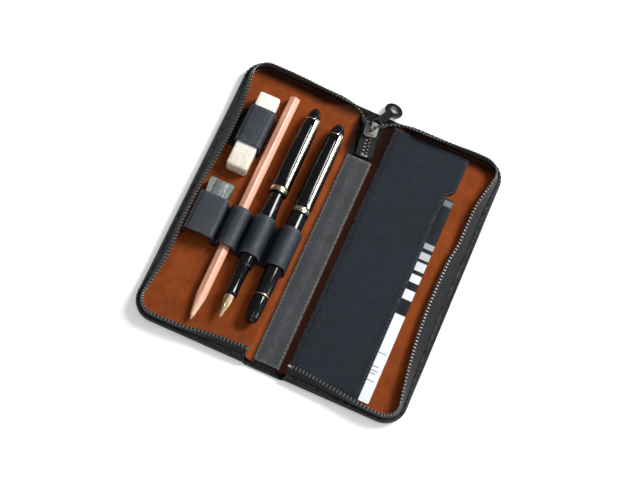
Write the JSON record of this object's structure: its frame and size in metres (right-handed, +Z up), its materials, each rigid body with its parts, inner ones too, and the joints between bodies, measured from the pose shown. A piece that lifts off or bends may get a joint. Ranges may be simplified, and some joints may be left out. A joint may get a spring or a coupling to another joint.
{
  "type": "fountain pen case",
  "caption": "Zippered leather pen case lying open like a book, with looped pens and drawing tools on one side and a pocket with a ruler on the other.",
  "frame": {"origin": "middle of the spine's underside, on the surface that the open case lies on", "axes": "+X from the pen half to the pocket half, +Y along the spine to the end where the zip slider parks, +Z up"},
  "size_m": [0.1837, 0.2108, 0.0176],
  "materials": {
    "black_leather": "fine-grained black leather",
    "loop_leather": "smooth blue-black leather",
    "spine_leather": "dark grey leather",
    "tan_lining": "matt tan leather",
    "board": "stiff board, hidden",
    "zip_tape": "woven black tape",
    "zip_metal": "bright nickel-plated metal",
    "pull_metal": "dark gunmetal",
    "pen_resin": "polished black resin",
    "gold": "polished pale gold",
    "pencil_wood": "lacquered rose-coloured wood",
    "graphite": "graphite",
    "eraser_vinyl": "matt white vinyl",
    "sharpener_metal": "satin light metal",
    "blade_steel": "bright steel",
    "ruler_plastic": "white plastic with a dark scale"
  },
  "bodies": {
    "spine": {"spine_cover": "black_leather", "spine_liner": "spine_leather", "tail_tape_left": "zip_tape", "tail_tape_right": "zip_tape", "tail_teeth_left": "zip_metal", "tail_teeth_right": "zip_metal", "tail_end_stop": "zip_metal"},
    "slider": {"slider_body": "zip_metal"},
    "pull": {"pull_tab": "pull_metal", "pull_ring": "zip_metal"},
    "left_half": {"left_cover": "black_leather", "left_board": "board", "left_lining": "tan_lining", "left_tape": "zip_tape", "left_teeth": "zip_metal", "left_top_stop": "zip_metal", "eraser_loop": "loop_leather", "sharpener_loop": "loop_leather", "pencil_loop": "loop_leather", "pen_loop_1": "loop_leather", "pen_loop_2": "loop_leather"},
    "right_half": {"right_cover": "black_leather", "right_board": "board", "right_lining": "tan_lining", "right_tape": "zip_tape", "right_teeth": "zip_metal", "right_top_stop": "zip_metal", "pocket_panel": "loop_leather"},
    "pen_1": {"barrel_1": "pen_resin", "section_1": "pen_resin", "nib_1": "gold", "feed_1": "pen_resin"},
    "cap_1": {"cap_1": "pen_resin", "cap_band_1": "gold", "clip_1": "gold", "finial_1": "pen_resin"},
    "pen_2": {"barrel_2": "pen_resin", "section_2": "pen_resin", "nib_2": "gold", "feed_2": "pen_resin", "tail_ring_2": "zip_metal"},
    "cap_2": {"cap_2": "pen_resin", "cap_band_2": "gold", "clip_2": "gold", "finial_2": "pen_resin"},
    "knob_2": {"piston_knob_2": "pen_resin"},
    "pencil": {"pencil_wood": "pencil_wood", "pencil_lead": "graphite"},
    "eraser": {"eraser_block": "eraser_vinyl"},
    "sharpener": {"sharpener_body": "sharpener_metal", "sharpener_blade": "blade_steel", "sharpener_screw": "sharpener_metal"},
    "ruler": {"ruler": "ruler_plastic"}
  },
  "joints": [
    {"name": "left_fold", "type": "hinge", "parent": "spine", "child": "left_half", "pos_m": [-0.011, 0, 0.0014], "axis": [0, 1, 0], "range_deg": [0, 90]},
    {"name": "right_fold", "type": "hinge", "parent": "spine", "child": "right_half", "pos_m": [0.011, 0, 0.0014], "axis": [0, -1, 0], "range_deg": [0, 90]},
    {"name": "slider_run", "type": "slide", "parent": "spine", "child": "slider", "axis": [-0.121, 0.9788, 0.165], "range_m": [-0.004, 0]},
    {"name": "pull_lift", "type": "hinge", "parent": "slider", "child": "pull", "pos_m": [-0.00074, 0.08491, 0.01105], "axis": [-0.9218, 0.3878, 0], "range_deg": [-130, 0]},
    {"name": "pen_1_slide", "type": "slide", "parent": "left_half", "child": "pen_1", "axis": [0, -1, 0], "range_m": [-0.003, 0.008]},
    {"name": "cap_1_pull", "type": "slide", "parent": "pen_1", "child": "cap_1", "axis": [0, -1, 0], "range_m": [-0.008, 0]},
    {"name": "pen_2_slide", "type": "slide", "parent": "left_half", "child": "pen_2", "axis": [0, -1, 0], "range_m": [-0.003, 0.008]},
    {"name": "cap_2_pull", "type": "slide", "parent": "pen_2", "child": "cap_2", "axis": [0, -1, 0], "range_m": [-0.007, 0]},
    {"name": "knob_2_turn", "type": "hinge", "parent": "pen_2", "child": "knob_2", "pos_m": [-0.0198, -0.058, 0.0103], "axis": [0, 1, 0], "continuous": true},
    {"name": "pencil_slide", "type": "slide", "parent": "left_half", "child": "pencil", "axis": [0, -1, 0], "range_m": [-0.01, 0.002]},
    {"name": "eraser_slide", "type": "slide", "parent": "left_half", "child": "eraser", "axis": [0, 1, 0], "range_m": [-0.004, 0.012]},
    {"name": "sharpener_slide", "type": "slide", "parent": "left_half", "child": "sharpener", "axis": [0, 1, 0], "range_m": [-0.005, 0.006]},
    {"name": "ruler_slide", "type": "slide", "parent": "right_half", "child": "ruler", "axis": [1, 0, 0], "range_m": [-0.022, 0.009]}
  ]
}
